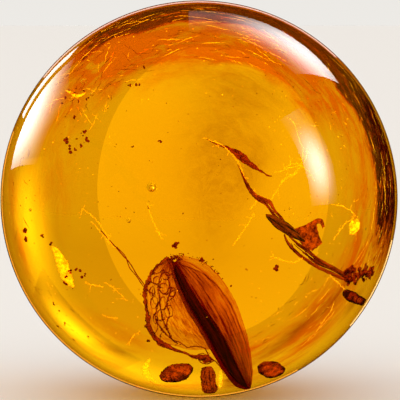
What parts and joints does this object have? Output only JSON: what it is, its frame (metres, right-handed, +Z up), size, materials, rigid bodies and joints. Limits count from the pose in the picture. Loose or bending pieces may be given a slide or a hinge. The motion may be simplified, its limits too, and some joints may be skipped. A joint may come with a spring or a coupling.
{
  "type": "amber ball with plant inclusions",
  "caption": "Polished ball of clear honey-coloured amber with a seed, twig and other plant debris sealed inside; stands on a small ground flat.",
  "frame": {"origin": "centre of the small ground flat that the ball stands on", "axes": "+Z up, the ball's front towards -Y, +X to the right as seen from the front"},
  "size_m": [0.05, 0.05, 0.0497],
  "materials": {
    "amber": "polished",
    "kernel": "satin",
    "husk": "satin",
    "bract": "matte",
    "stem": "satin",
    "bud": "satin",
    "leaf": "matte",
    "bark": "matte"
  },
  "bodies": {
    "root": {"amber_front": "amber", "amber_back": "amber", "seed_kernel": "kernel", "seed_husk": "husk", "papery_bract": "bract", "plant_hair": "stem", "twig_stem": "stem", "thin_stem": "stem", "twig_bud": "bud", "leaf_scrap": "leaf", "slim_leaf": "leaf", "bark_stub": "bark", "frass_clump": "bark", "pip_left": "bark", "wood_stub": "bark", "pip_right": "bark"}
  },
  "joints": []
}
